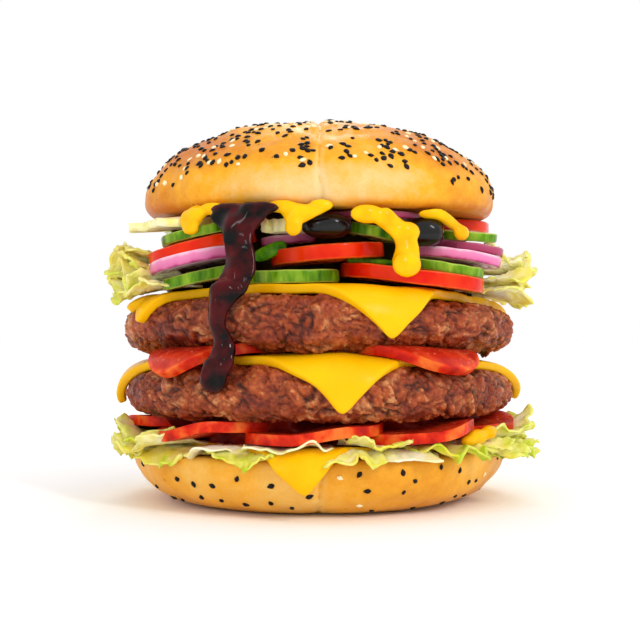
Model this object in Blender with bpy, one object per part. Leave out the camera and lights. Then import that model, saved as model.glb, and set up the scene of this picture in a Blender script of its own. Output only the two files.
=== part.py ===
"""A tall double cheeseburger as separate solids: two bun halves, two patties, three cheese slices, lettuce,
rings of salami, and rounds of tomato, cucumber and red onion with olives, mustard and barbecue sauce.

Frame: +Z up, origin at the centre of the flat underside of the bottom bun, front of the burger towards -Y.
Sizes below are in millimetres, and MM turns them into Blender's metres. Azimuths are in degrees,
anticlockwise from +X seen from above, so the front is at 270.
"""

import math

import bmesh
import bpy
from mathutils import Matrix, Vector

MM = 0.001

# --- Driving dimensions ------------------------------------------------------------------------------------
GAP = 0.35  # clearance between neighbouring pieces
HANG_GAP = 0.7  # clearance of the cheese, whose flat facets bridge the curve of the rim
PATTY_R = 57.6
LOW_PATTY_H = 15.0
HIGH_PATTY_H = 12.9
PATTY_EDGE = 7.0  # how far in from the rim the rounding starts
PATTY_SADDLE = 4.0  # how much lower the top lies at the left and right rims than in the middle
SADDLE_SHIFT = 3.0
RIM_POWER = 2.3  # roundness of a patty's rim, where 2 is an ellipse and more is squarer
BOTTOM_R = 55.3
BOTTOM_H = 15.9
BOTTOM_FOOT_R = 37.0
BOTTOM_SHOULDER = 2.2
TOP_R = 52.3
TOP_H = 28.9
TOP_LIP = 4.7  # height of the rounded lip below the widest line
TOP_LIP_W = 3.8
CREASE_DEPTH = 1.0
CREASE_HALF_WIDTH = 2.6
CHEESE_SIDE = 93.0
BASE_CHEESE_SIDE = 88.0
CHEESE_T = 2.0
LEAF_T = 1.3
SALAMI_R = 18.5
SALAMI_T = 2.4
SALAMI_SIDES = 16
BUN_STEPS = 36
PATTY_STEPS = 36
ROUND_SIDES = 20

# --- Levels, from the plate up -----------------------------------------------------------------------------
BOTTOM_WIDEST_Z = BOTTOM_H - 1.9
LOW_LEAF_Z = BOTTOM_H + HANG_GAP + CHEESE_T + GAP
LOW_SALAMI_Z = LOW_LEAF_Z + LEAF_T + GAP
SALAMI_LAP = SALAMI_T + GAP  # how much a slice climbs where it lies on its neighbour
LOW_PATTY_Z = LOW_SALAMI_Z + SALAMI_T + SALAMI_LAP + GAP
HIGH_SALAMI_Z = LOW_PATTY_Z + LOW_PATTY_H + HANG_GAP + CHEESE_T + GAP
HIGH_PATTY_Z = HIGH_SALAMI_Z + SALAMI_T + 1.2 * GAP
GARNISH_Z = HIGH_PATTY_Z + HIGH_PATTY_H + HANG_GAP + CHEESE_T + GAP
TOP_Z = 83.3

COLOURS = {
    "crust": (0.86, 0.52, 0.17),
    "beef": (0.22, 0.09, 0.045),
    "cheese": (1.0, 0.62, 0.02),
    "lettuce": (0.55, 0.75, 0.15),
    "salami": (0.55, 0.06, 0.03),
    "tomato": (0.85, 0.06, 0.02),
    "cucumber": (0.12, 0.35, 0.03),
    "onion": (0.62, 0.28, 0.48),
    "olive": (0.01, 0.01, 0.012),
    "mustard": (1.0, 0.6, 0.01),
    "barbecue": (0.08, 0.008, 0.008),
}
ROUGHNESS = {"crust": 0.5, "beef": 0.6, "olive": 0.2, "barbecue": 0.15}


# --- Helpers -----------------------------------------------------------------------------------------------
def clear_scene():
    for old in list(bpy.data.objects):
        bpy.data.objects.remove(old)


def material(slot):
    made = bpy.data.materials.get(slot)
    if made is None:
        made = bpy.data.materials.new(slot)
        made.use_nodes = True
        shader = made.node_tree.nodes["Principled BSDF"]
        shader.inputs["Base Color"].default_value = (*COLOURS[slot], 1.0)
        shader.inputs["Roughness"].default_value = ROUGHNESS.get(slot, 0.35)
        shader.inputs["Metallic"].default_value = 0.0
    return made


def finish(name, mesh, slot, smooth=True):
    """Turns a bmesh whose points are in millimetres into a named object in metres."""
    bmesh.ops.recalc_face_normals(mesh, faces=mesh.faces[:])
    bmesh.ops.scale(mesh, vec=Vector((MM, MM, MM)), verts=mesh.verts[:])
    data = bpy.data.meshes.new(name)
    mesh.to_mesh(data)
    mesh.free()
    data.materials.append(material(slot))
    if smooth:
        data.shade_smooth()
    else:
        data.set_sharp_from_angle(angle=math.radians(40))
    made = bpy.data.objects.new(name, data)
    bpy.context.collection.objects.link(made)
    return made


def thicken(made, thickness):
    """Gives a sheet its thickness, upwards from the sheet."""
    grow = made.modifiers.new("thickness", "SOLIDIFY")
    grow.thickness = thickness * MM
    grow.offset = 1.0


def polar(azimuth, radius, z):
    a = math.radians(azimuth)
    return Vector((radius * math.cos(a), radius * math.sin(a), z))


def azimuth_of(point):
    return math.degrees(math.atan2(point.y, point.x))


def smoothstep(low, high, value):
    t = min(1.0, max(0.0, (value - low) / (high - low)))
    return t * t * (3 - 2 * t)


def turned(profile, steps):
    """A closed bmesh of revolution about Z from a profile that starts and ends on the axis."""
    mesh = bmesh.new()
    points = [mesh.verts.new((radius, 0, z)) for radius, z in profile]
    edges = [mesh.edges.new(pair) for pair in zip(points, points[1:])]
    bmesh.ops.spin(
        mesh, geom=points + edges, cent=(0, 0, 0), axis=(0, 0, 1), angle=math.tau, steps=steps, use_merge=True
    )
    bmesh.ops.remove_doubles(mesh, verts=mesh.verts[:], dist=0.01)
    return mesh


def arc(centre, half_width, half_height, start, end, steps, power=2.0):
    """Points of a superellipse arc about (radius, z) centre, from start to end degrees, both ends included."""
    points = []
    for i in range(steps + 1):
        a = math.radians(start + (end - start) * i / steps)
        c, s = math.cos(a), math.sin(a)
        reach = half_width * math.copysign(abs(c) ** (2 / power), c)
        rise = half_height * math.copysign(abs(s) ** (2 / power), s)
        points.append((centre[0] + reach, centre[1] + rise))
    return points


def swollen(mesh, amounts):
    """Makes a turned mesh gently uneven. amounts are (bumps round the rim, size, phase)."""
    for point in mesh.verts:
        angle = math.atan2(point.co.y, point.co.x)
        swell = 1 + sum(size * math.sin(bumps * angle + phase) for bumps, size, phase in amounts)
        point.co.x *= swell
        point.co.y *= swell


# --- Buns --------------------------------------------------------------------------------------------------
def press_crease(mesh, centre_z, hidden_radius=20):
    """Presses in the pinched line that runs front to back over both bun halves."""
    for point in mesh.verts:
        out = Vector((point.co.x, point.co.y, point.co.z - centre_z))
        if abs(point.co.y) > hidden_radius or point.co.z > centre_z + CREASE_HALF_WIDTH:
            depth = CREASE_DEPTH * math.exp(-2 * (point.co.x / CREASE_HALF_WIDTH) ** 2)
            point.co -= out.normalized() * depth


def make_bottom_bun():
    shoulder_r = BOTTOM_R - BOTTOM_SHOULDER
    side = arc((BOTTOM_FOOT_R, BOTTOM_WIDEST_Z), BOTTOM_R - BOTTOM_FOOT_R, BOTTOM_WIDEST_Z, 0, -90, 6)
    shoulder = arc((shoulder_r, BOTTOM_WIDEST_Z), BOTTOM_SHOULDER, BOTTOM_H - BOTTOM_WIDEST_Z, 90, 0, 2)
    mesh = turned([(0, BOTTOM_H)] + shoulder + side[1:] + [(0, 0)], BUN_STEPS)
    swollen(mesh, ((2, 0.006, 0.5), (5, 0.005, 0.0)))
    press_crease(mesh, BOTTOM_H, BOTTOM_FOOT_R + 1)
    return finish("bun_bottom", mesh, "crust")


def make_top_bun():
    widest = TOP_Z + TOP_LIP
    dome = arc((0, widest), TOP_R, TOP_H - TOP_LIP, 90, 0, 9)
    lip = arc((TOP_R - TOP_LIP_W, widest), TOP_LIP_W, TOP_LIP, 0, -90, 3)
    mesh = turned(dome + lip[1:] + [(0, TOP_Z)], BUN_STEPS)
    swollen(mesh, ((2, 0.006, 2.1), (3, 0.004, 1.0)))
    press_crease(mesh, TOP_Z)
    return finish("bun_top", mesh, "crust")


# --- Patties and the cheese that hangs over them -----------------------------------------------------------
def rim_swell(azimuth, phase):
    a = math.radians(azimuth)
    return 1 + 0.008 * math.sin(2 * a + phase) + 0.006 * math.sin(5 * a + 2 * phase)


def saddle(x):
    """How far the top of a patty lies below its middle."""
    return PATTY_SADDLE * ((x + SADDLE_SHIFT) / PATTY_R) ** 2


HIGH_PATTY_SAGS = ((267, 15, 2.2), (358, 34, 3.2), (93, 25, 2.2), (182, 30, 3.0))


def sag_at(azimuth, sags):
    """How far the rim of a patty sinks between the slices below it."""
    depth = 0.0
    for lowest, half_width, most in sags:
        off = abs((azimuth - lowest + 180) % 360 - 180) / half_width
        if off < 1:
            depth += most * (0.5 + 0.5 * math.cos(math.pi * off))
    return depth


def make_patty(name, foot_z, height, phase, sags=()):
    """A rounded disc, higher in the middle. sags are (azimuth, half width in degrees, depth) of the low
    places in its underside."""
    half = height / 2
    flat = PATTY_R - PATTY_EDGE
    rim = arc((flat, foot_z + half), PATTY_EDGE, half, 90, -90, 7, RIM_POWER)
    mesh = turned([(0, foot_z + height), (28, foot_z + height)] + rim + [(0, foot_z)], PATTY_STEPS)
    for point in mesh.verts:
        at_rim = math.hypot(point.co.x, point.co.y) > flat - 1
        azimuth = azimuth_of(point.co)
        swell = rim_swell(azimuth, phase)
        share = (point.co.z - foot_z) / height
        point.co.x *= swell
        point.co.y *= swell
        point.co.z -= saddle(point.co.x) * share
        if at_rim:
            point.co.z -= sag_at(azimuth, sags) * (1 - share) ** 2
    return finish(name, mesh, "beef")


def hanging_profile(length, radius, height, edge, top_z, power):
    """(radius, z) at a length along the flat top and then down the rounded rim of a disc, just outside it."""
    flat = radius - edge
    if length <= flat:
        return length, top_z + HANG_GAP
    rim = arc((flat, top_z - height / 2), edge + HANG_GAP, height / 2 + HANG_GAP, 90, -60, 24, power)
    left = length - flat
    for here, there in zip(rim, rim[1:]):
        step = Vector(there) - Vector(here)
        if left <= step.length:
            at = Vector(here) + step * (left / step.length)
            return at.x, at.y
        left -= step.length
    return rim[-1]


CHEESE_MARKS = (-1, -0.93, -0.85, -0.76, -0.64, -0.3, 0.3, 0.64, 0.76, 0.85, 0.93, 1)


def make_cheese(name, side, tip_azimuth, top_z, height, phase=None, edge=PATTY_EDGE, radius=PATTY_R):
    """A square slice laid over a disc of the given height, with its points hanging down the rim."""
    mesh = bmesh.new()
    turn = math.radians(tip_azimuth - 45)
    power = 2.0 if phase is None else RIM_POWER
    rows = []
    for v in CHEESE_MARKS:
        row = []
        for u in CHEESE_MARKS:
            x = side / 2 * (u * math.cos(turn) - v * math.sin(turn))
            y = side / 2 * (u * math.sin(turn) + v * math.cos(turn))
            azimuth = math.degrees(math.atan2(y, x))
            reach, z = hanging_profile(math.hypot(x, y), radius, height, edge, top_z, power)
            reach *= 1.012 if phase is None else rim_swell(azimuth, phase) + 0.003
            place = polar(azimuth, reach, z)
            if phase is not None:
                place.z -= saddle(place.x) * (1 - (top_z - z) / height)
            row.append(mesh.verts.new(place))
        rows.append(row)
    for low, high in zip(rows, rows[1:]):
        for i in range(len(CHEESE_MARKS) - 1):
            mesh.faces.new((low[i], low[i + 1], high[i + 1], high[i]))
    thicken(finish(name, mesh, "cheese"), CHEESE_T)


# --- Leaves ------------------------------------------------------------------------------------------------
def spread_of(first, last, count):
    return [first + (last - first) * i / (count - 1) for i in range(count)]


def make_leaf(name, azimuths, radii_at, height_of, closed_ring=False):
    """A thin leaf. radii_at(azimuth) are the radii of its points and height_of their undersides."""
    mesh = bmesh.new()
    spokes = [[mesh.verts.new(polar(a, r, height_of(a, r))) for r in radii_at(a)] for a in azimuths]
    following = spokes[1:] + spokes[:1] if closed_ring else spokes[1:]
    for here, there in zip(spokes, following):
        for i in range(len(here) - 1):
            mesh.faces.new((here[i], here[i + 1], there[i + 1], there[i]))
    if closed_ring:
        mesh.faces.new([spoke[0] for spoke in spokes])
    thicken(finish(name, mesh, "lettuce"), LEAF_T)


def low_leaf_height(azimuth, radius):
    a = math.radians(azimuth)
    droop = 2.6 + 1.5 * math.sin(7 * a + 0.6) + 1.1 * math.sin(12 * a)
    return LOW_LEAF_Z - droop * smoothstep(56.0, 64, radius)


def high_leaf_height(azimuth, radius):
    a = math.radians(azimuth)
    rise = 2.5 + 3.5 * math.sin(9 * a + 1.2) + 2.0 * math.sin(17 * a)
    flat = GARNISH_Z - saddle(radius * math.cos(a))
    return flat + rise * smoothstep(53, 63, radius)


def high_leaf_radii(azimuth):
    """The leaves start further out towards the front, where slices lie in front of their roots."""
    towards_front = 1 - smoothstep(60, 80, abs((azimuth - 90) % 360 - 180))
    root = 46 + 10 * towards_front
    return (root, (root + 60) / 2, 60.5, 62.5)


LEAF_SPANS = (("lettuce_left", 158, 211), ("lettuce_right", 337, 379), ("lettuce_back", 64, 103))


def make_leaves():
    ring = [360 * i / 40 for i in range(40)]
    make_leaf("lettuce_lower", ring, lambda azimuth: (30, 56, 59, 62.5), low_leaf_height, closed_ring=True)
    for name, first, last in LEAF_SPANS:
        make_leaf(name, spread_of(first, last, 13), high_leaf_radii, high_leaf_height)


# --- Salami ------------------------------------------------------------------------------------------------
def make_salami(name, azimuth, reach, height_of):
    """A thin round whose underside follows height_of(azimuth offset, radius from the burger's axis)."""
    mesh = bmesh.new()
    centre = polar(azimuth, reach, 0)
    bmesh.ops.create_circle(mesh, cap_ends=False, radius=SALAMI_R, segments=SALAMI_SIDES)
    outer = list(mesh.verts)
    inner = [mesh.verts.new(point.co * 0.55) for point in outer]
    middle = mesh.verts.new((0, 0, 0))
    for i in range(SALAMI_SIDES):
        j = (i + 1) % SALAMI_SIDES
        mesh.faces.new((outer[i], outer[j], inner[j], inner[i]))
        mesh.faces.new((inner[i], inner[j], middle))
    for point in mesh.verts:
        place = point.co + centre
        off = (azimuth_of(place) - azimuth + 180) % 360 - 180
        point.co = Vector((place.x, place.y, height_of(off, math.hypot(place.x, place.y))))
    thicken(finish(name, mesh, "salami"), SALAMI_T)


LOW_SALAMI_COUNT = 9


def low_salami_height(off, radius):
    """Flat on the leaf at its left end, lifted onto the next slice at its right end."""
    return LOW_SALAMI_Z + SALAMI_LAP * smoothstep(-7.0, 12.0, off)


def high_salami_height(azimuth):
    """Flat on the lower cheese, then sagging over the rim of the lower patty."""
    flat = PATTY_R - PATTY_EDGE
    clear = HANG_GAP + CHEESE_T + 2 * GAP
    wide = PATTY_EDGE + clear
    tall = LOW_PATTY_H / 2 + clear

    def height(off, radius):
        x = radius * math.cos(math.radians(azimuth + off))
        share = min(1.0, max(0.0, (radius - flat) / wide))
        drop = tall * (1 - (1 - share**RIM_POWER) ** (1 / RIM_POWER))
        return HIGH_SALAMI_Z - saddle(x) - drop

    return height


HIGH_SALAMI_AZIMUTHS = (228, 306, 50, 136)


def make_all_salami():
    for i in range(LOW_SALAMI_COUNT):
        azimuth = 188 + i * 360 / LOW_SALAMI_COUNT
        make_salami(f"salami_lower_{i + 1}", azimuth, 40.0, low_salami_height)
    for i, azimuth in enumerate(HIGH_SALAMI_AZIMUTHS):
        make_salami(f"salami_upper_{i + 1}", azimuth, 41.0, high_salami_height(azimuth))


# --- Rounds of vegetable -----------------------------------------------------------------------------------
def make_round(name, centre, radius, thickness, slope_x=0.0, slope_y=0.0):
    """A flat round slice. The slopes are how much it rises for each millimetre towards +X and +Y."""
    mesh = bmesh.new()
    bmesh.ops.create_cone(
        mesh, cap_ends=True, segments=ROUND_SIDES, radius1=radius, radius2=radius, depth=thickness
    )
    swollen(mesh, ((2, 0.02, centre[0]), (3, 0.01, centre[1])))
    tilt = Vector((0, 0, 1)).rotation_difference(Vector((-slope_x, -slope_y, 1)))
    place = Matrix.Translation(centre) @ tilt.to_matrix().to_4x4()
    bmesh.ops.transform(mesh, matrix=place, verts=mesh.verts[:])
    return finish(name, mesh, name.rsplit("_", 1)[0], smooth=False)


# name, centre, radius, thickness, slope towards +X, slope towards +Y
ROUNDS = (
    ("cucumber_1", (-31.2, -27.5, 65.4), 13.3, 3.2, 0.20, 0.0),
    ("cucumber_2", (-6.8, -35.5, 64.9), 12.3, 3.6, 0.0, 0.0),
    ("tomato_1", (26.0, -29.5, 64.4), 20.0, 4.0, -0.11, 0.0),
    ("cucumber_3", (33.5, -31.5, 67.7), 12.5, 2.8, -0.14, 0.0),
    ("onion_1", (-33.0, -28.5, 69.7), 15.0, 3.4, 0.20, 0.0),
    ("tomato_2", (-33.0, -27.0, 73.6), 15.5, 3.4, 0.21, 0.0),
    ("tomato_3", (2.2, -31.0, 71.3), 16.0, 4.2, 0.09, 0.0),
    ("onion_2", (38.0, -26.0, 70.5), 13.5, 3.0, -0.13, 0.0),
    ("cucumber_4", (-31.0, -27.5, 77.6), 14.0, 2.8, 0.20, 0.0),
    ("onion_3", (-8.8, -26.0, 76.2), 8.0, 2.6, 0.09, 0.0),
    ("cucumber_5", (13.8, -30.0, 77.5), 8.4, 3.2, -0.2, 0.0),
    ("onion_4", (42.0, -22.0, 73.4), 11.0, 2.4, -0.13, 0.0),
    ("cucumber_6", (42.5, -22.5, 77.0), 8.5, 2.6, -0.10, 0.10),
    ("onion_5", (15.2, -29.0, 82.0), 14.0, 1.8, 0.0, 0.0),
    ("tomato_4", (-27.0, 28.0, 66.4), 18.5, 4.6, 0.10, 0.0),
    ("cucumber_7", (8.0, 31.5, 64.9), 12.5, 3.6, 0.0, 0.0),
    ("cucumber_8", (34.0, 26.0, 65.4), 13.0, 3.6, -0.15, 0.0),
    ("onion_6", (35.0, 25.0, 69.7), 15.5, 3.2, -0.15, 0.0),
    ("tomato_5", (2.5, 30.0, 72.6), 15.5, 4.2, 0.0, 0.0),
    ("onion_7", (-32.0, 26.0, 71.2), 14.0, 3.2, 0.12, 0.0),
    ("cucumber_9", (-29.5, 27.0, 75.4), 13.0, 3.2, 0.12, 0.0),
    ("tomato_6", (33.0, 25.0, 74.8), 15.0, 3.6, -0.15, 0.0),
    ("cucumber_10", (39.0, -1.0, 69.6), 9.6, 3.8, -0.06, 0.0),
    ("onion_8", (38.0, 0.0, 75.0), 9.4, 3.4, -0.08, 0.0),
    ("tomato_7", (34.0, 4.5, 81.0), 18.0, 3.4, 0.0, 0.0),
    ("tomato_8", (-37.0, 0.5, 71.0), 11.0, 4.6, 0.08, 0.0),
    ("cucumber_11", (-32.0, 9.0, 80.9), 16.0, 3.2, 0.0, 0.0),
    ("onion_9", (3.0, 21.5, 81.3), 12.5, 2.6, 0.0, 0.0),
)

# name, centre, half sizes, turn about Z
OLIVES = (
    ("olive_1", (2.0, -44.0, 78.3), (7.0, 6.2, 3.3), 0),
    ("olive_2", (28.3, -37.6, 77.1), (6.2, 5.6, 4.0), -30),
    ("olive_3", (4.0, 42.0, 78.4), (7.0, 6.0, 3.4), 10),
)


def make_olive(name, centre, half_sizes, turn):
    mesh = bmesh.new()
    bmesh.ops.create_uvsphere(mesh, u_segments=12, v_segments=8, radius=1.0)
    spin = Matrix.Rotation(math.radians(turn), 4, "Z")
    place = Matrix.Translation(centre) @ spin @ Matrix.Diagonal((*half_sizes, 1.0))
    bmesh.ops.transform(mesh, matrix=place, verts=mesh.verts[:])
    return finish(name, mesh, "olive")


# --- Sauces ------------------------------------------------------------------------------------------------
SAUCE_SIDES = 8

# Stations of a drip from its top end down: azimuth, radius, z, half width round the burger, half depth
DRIPS = (
    (
        "sauce_barbecue", "barbecue",
        (
            (248.0, 54.0, 82.3, 8.0, 0.6),
            (248.0, 56.0, 80.0, 8.5, 1.4),
            (248.5, 57.5, 75.3, 4.4, 1.7),
            (249.0, 58.5, 69.0, 4.3, 1.8),
            (248.5, 59.6, 64.8, 5.0, 1.8),
            (246.0, 61.6, 59.6, 5.4, 1.6),
            (244.4, 61.8, 54.6, 2.9, 1.6),
            (244.8, 61.8, 50.4, 2.4, 1.6),
            (246.0, 61.6, 46.0, 3.0, 1.6),
            (245.4, 61.6, 41.4, 4.3, 1.8),
            (243.4, 61.4, 37.0, 4.2, 1.9),
            (242.8, 61.0, 33.0, 2.0, 1.4),
        ),
    ),
    (
        "mustard_1", "mustard",
        ((232.0, 53.6, 83.6, 3.0, 0.8), (232.5, 54.4, 81.0, 4.6, 1.5), (232.5, 54.4, 78.4, 3.6, 1.2)),
    ),
    (
        "mustard_2", "mustard",
        ((266.0, 52.4, 83.2, 5.0, 0.6), (266.0, 53.6, 81.2, 6.6, 1.2), (264.0, 53.6, 78.0, 2.6, 1.0)),
    ),
    (
        "mustard_3", "mustard",
        (
            (281.0, 52.0, 82.4, 3.6, 0.8),
            (289.0, 53.0, 80.2, 4.6, 1.2),
            (293.5, 54.4, 76.6, 3.6, 1.6),
            (295.0, 56.2, 71.6, 3.0, 1.6),
            (294.5, 57.6, 67.6, 3.6, 1.7),
            (294.5, 57.4, 64.8, 1.8, 1.2),
        ),
    ),
    (
        "mustard_4", "mustard",
        ((306.0, 53.0, 82.2, 2.4, 0.8), (311.0, 54.2, 79.6, 2.6, 1.3), (316.0, 55.0, 76.0, 1.8, 1.1)),
    ),
)


def make_drip(name, slot, stations):
    """A drip lofted through its stations, closed at both ends."""
    mesh = bmesh.new()
    centres = [polar(azimuth, radius, z) for azimuth, radius, z, _, _ in stations]
    last = len(centres) - 1
    rings = []
    for i, (azimuth, _, _, wide, deep) in enumerate(stations):
        along = (centres[min(i + 1, last)] - centres[max(i - 1, 0)]).normalized()
        across = polar(azimuth + 90, 1, 0)
        outwards = across.cross(along).normalized()
        ring = []
        for k in range(SAUCE_SIDES):
            t = math.tau * k / SAUCE_SIDES
            offset = across * wide * math.cos(t) + outwards * deep * math.sin(t)
            ring.append(mesh.verts.new(centres[i] + offset))
        rings.append(ring)
    for here, there in zip(rings, rings[1:]):
        for k in range(SAUCE_SIDES):
            j = (k + 1) % SAUCE_SIDES
            mesh.faces.new((here[k], here[j], there[j], there[k]))
    mesh.faces.new(rings[0])
    mesh.faces.new(rings[-1])
    return finish(name, mesh, slot)


clear_scene()
make_bottom_bun()
make_top_bun()
make_patty("patty_lower", LOW_PATTY_Z, LOW_PATTY_H, 0.4)
make_patty("patty_upper", HIGH_PATTY_Z, HIGH_PATTY_H, 2.2, HIGH_PATTY_SAGS)
make_cheese("cheese_base", BASE_CHEESE_SIDE, 266, BOTTOM_H, 2 * (BOTTOM_H - BOTTOM_WIDEST_Z), None, 2.2, BOTTOM_R)
make_cheese("cheese_lower", CHEESE_SIDE, 275.5, LOW_PATTY_Z + LOW_PATTY_H, LOW_PATTY_H, 0.4)
make_cheese("cheese_upper", CHEESE_SIDE, 288, HIGH_PATTY_Z + HIGH_PATTY_H, HIGH_PATTY_H, 2.2)
make_leaves()
make_all_salami()
for spec in ROUNDS:
    make_round(*spec)
for spec in OLIVES:
    make_olive(*spec)
for spec in DRIPS:
    make_drip(*spec)
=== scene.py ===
"""Looks of the double cheeseburger: every layer of the solid model rebuilt as food, with seeds, sauces,
camera, floor and lights. Sizes are in millimetres until a mesh is made, when MM turns them into metres."""

import math

import bmesh
import bpy
import numpy as np
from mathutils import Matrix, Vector


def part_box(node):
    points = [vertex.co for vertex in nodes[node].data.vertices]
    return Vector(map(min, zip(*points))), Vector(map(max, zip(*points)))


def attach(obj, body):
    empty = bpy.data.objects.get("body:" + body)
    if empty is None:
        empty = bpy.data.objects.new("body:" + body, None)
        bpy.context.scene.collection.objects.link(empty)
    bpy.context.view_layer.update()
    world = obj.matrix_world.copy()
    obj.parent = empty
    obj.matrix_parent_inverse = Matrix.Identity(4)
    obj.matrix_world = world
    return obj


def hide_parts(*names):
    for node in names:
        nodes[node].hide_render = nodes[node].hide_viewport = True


MM = 0.001
TAU = math.tau

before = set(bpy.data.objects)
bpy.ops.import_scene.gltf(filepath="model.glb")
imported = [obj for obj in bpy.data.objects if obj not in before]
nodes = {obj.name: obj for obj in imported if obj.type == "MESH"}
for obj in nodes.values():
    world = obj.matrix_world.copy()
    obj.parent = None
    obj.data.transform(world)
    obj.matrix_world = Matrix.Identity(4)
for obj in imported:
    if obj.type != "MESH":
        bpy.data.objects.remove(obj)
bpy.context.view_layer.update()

# --- Levels and sizes shared with the solid model ----------------------------------------------------------
BOTTOM_BUN_TOP = 15.9
BOTTOM_BUN_R = 55.3
TOP_BUN_FOOT = 83.3
TOP_BUN_TOP = 112.2
PATTY_R = 57.6
PATTY_EDGE = 7.0
PATTY_FLAT = PATTY_R - PATTY_EDGE
RIM_POWER = 2.3
SADDLE = 4.0
SADDLE_SHIFT = 3.0
SALAMI_R = 18.5

# --- Slices as shown, a little larger and thicker than their solids ----------------------------------------
CHEESE_SIDE = 95.6
CHEESE_BASE_SIDE = 91
CHEESE_THICK = 2.6
SALAMI_THICK = 2.9


# --- Numbers: noise and cells ------------------------------------------------------------------------------
def smoothstep(low, high, value):
    t = np.clip((value - low) / (high - low), 0, 1)
    return t * t * (3 - 2 * t)


def waves(points, size, seed, count=26):
    """Smooth noise of about -1 to 1 at (N, 3) points, whose lumps are about the given size."""
    rng = np.random.default_rng(seed)
    ways = rng.normal(size=(count, 3))
    pitch = (TAU / (2.2 * size)) * rng.uniform(0.6, 1.4, (count, 1))
    ways *= pitch / np.linalg.norm(ways, axis=1, keepdims=True)
    phases = rng.uniform(0, TAU, count)
    return np.sin(points @ ways.T + phases).sum(axis=1) / math.sqrt(count)


def cells(points, size, seed):
    """Random lumps in a jittered grid: how far each point is inside its lump, 0 at the crevice between
    two lumps, and the lump's own random number."""
    table = np.random.default_rng(seed).random((24, 24, 24, 4))
    spots = points / size
    home = np.floor(spots).astype(int)
    first = np.full(len(points), 9.0)
    second = np.full(len(points), 9.0)
    own = np.zeros(len(points))
    for step in np.ndindex(3, 3, 3):
        cell = home + np.array(step) - 1
        seeds = table[cell[:, 0] % 24, cell[:, 1] % 24, cell[:, 2] % 24]
        far = np.linalg.norm(spots - cell - seeds[:, :3], axis=1)
        own = np.where(far < first, seeds[:, 3], own)
        second = np.minimum(second, np.maximum(first, far))
        first = np.minimum(first, far)
    return second - first, own


# --- Meshes ------------------------------------------------------------------------------------------------
def grid_faces(rows, columns, wrap):
    """Quads of a grid of rows x columns points. wrap closes it along its rows' direction."""
    spans = rows if wrap else rows - 1
    i, j = np.meshgrid(np.arange(spans), np.arange(columns - 1), indexing="ij")
    a, b = (i * columns + j).ravel(), (((i + 1) % rows) * columns + j).ravel()
    return np.stack([a, b, b + 1, a + 1], axis=1)


def tube_faces(rings, sides):
    """Quads between rings of points that lie one after another."""
    i, k = np.meshgrid(np.arange(rings - 1), np.arange(sides), indexing="ij")
    a, b = (i * sides + k).ravel(), (i * sides + (k + 1) % sides).ravel()
    return np.stack([a, b, b + sides, a + sides], axis=1)


def joined(parts):
    """(points, faces) of many meshes as one."""
    starts = np.cumsum([0] + [len(points) for points, _ in parts])
    faces = [np.asarray(part[1]) + start for part, start in zip(parts, starts)]
    return np.concatenate([points for points, _ in parts]), np.concatenate(faces)


def ball(sides, steps, power=1.0):
    """Points of a unit ball, boxier as power falls."""
    up = np.linspace(0, np.pi, steps)[None, :]
    turn = np.linspace(0, TAU, sides, endpoint=False)[:, None]
    across, out = np.sin(up) * np.cos(turn), np.sin(up) * np.sin(turn)
    unit = np.stack([across, out, np.broadcast_to(np.cos(up), (sides, steps))], axis=-1).reshape(-1, 3)
    return np.sign(unit) * np.abs(unit) ** power


def link(name, data, node=None):
    """An object that rides the body, and stands for a node of the solid model if one is named."""
    made = bpy.data.objects.new(name, data)
    bpy.context.scene.collection.objects.link(made)
    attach(made, "root")
    if node:
        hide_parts(node)
    return made


def weld(data):
    mesh = bmesh.new()
    mesh.from_mesh(data)
    bmesh.ops.remove_doubles(mesh, verts=mesh.verts[:], dist=2e-6)
    bmesh.ops.dissolve_degenerate(mesh, edges=mesh.edges[:], dist=1e-6)
    bmesh.ops.recalc_face_normals(mesh, faces=mesh.faces[:])
    mesh.to_mesh(data)
    mesh.free()


def build(name, points, faces, look, node=None, slot=None, values=None):
    """A smooth mesh object in millimetres. values is {attribute name: one number per point}."""
    data = bpy.data.meshes.new(name)
    data.from_pydata((np.asarray(points) * MM).tolist(), [], np.asarray(faces).tolist())
    for key, numbers in (values or {}).items():
        layer = data.attributes.new(key, "FLOAT", "POINT")
        layer.data.foreach_set("value", np.asarray(numbers, np.float32))
    weld(data)
    data.materials.append(look)
    data.shade_smooth()
    return link(name, data, node)


def thicken(made, thickness, bevel=0.0, offset=0.0):
    """Gives a sheet its thickness, to both sides or, at offset 1, outwards."""
    grow = made.modifiers.new("thickness", "SOLIDIFY")
    grow.thickness = thickness * MM
    grow.offset = offset
    if bevel:
        round_off = made.modifiers.new("edge", "BEVEL")
        round_off.width = bevel * MM
        round_off.segments = 3
        round_off.limit_method = "ANGLE"
        round_off.angle_limit = math.radians(50)


def spin_points(azimuths, radii, heights):
    """Points of a surface of revolution. azimuths (rows, 1) in degrees, radii and heights (rows, columns)."""
    a = np.radians(azimuths)
    shape = np.broadcast(a, radii).shape
    x, y = radii * np.cos(a), radii * np.sin(a)
    z = np.broadcast_to(heights, shape)
    return np.stack([x, y, z], axis=-1).reshape(-1, 3)


def arc(centre, half_width, half_height, start, end, steps, power=2.0):
    """(radius, z) points along an ellipse, boxier as power grows."""
    a = np.radians(np.linspace(start, end, steps + 1))
    c, s = np.cos(a), np.sin(a)
    reach = half_width * np.sign(c) * np.abs(c) ** (2 / power)
    rise = half_height * np.sign(s) * np.abs(s) ** (2 / power)
    return np.stack([centre[0] + reach, centre[1] + rise], axis=1)


def even_spacing(profile, step):
    """The same (radius, z) line with points about step apart."""
    lengths = np.concatenate([[0], np.cumsum(np.linalg.norm(np.diff(profile, axis=0), axis=1))])
    at = np.linspace(0, lengths[-1], max(3, int(lengths[-1] / step)))
    return np.stack([np.interp(at, lengths, profile[:, 0]), np.interp(at, lengths, profile[:, 1])], axis=1)


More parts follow.
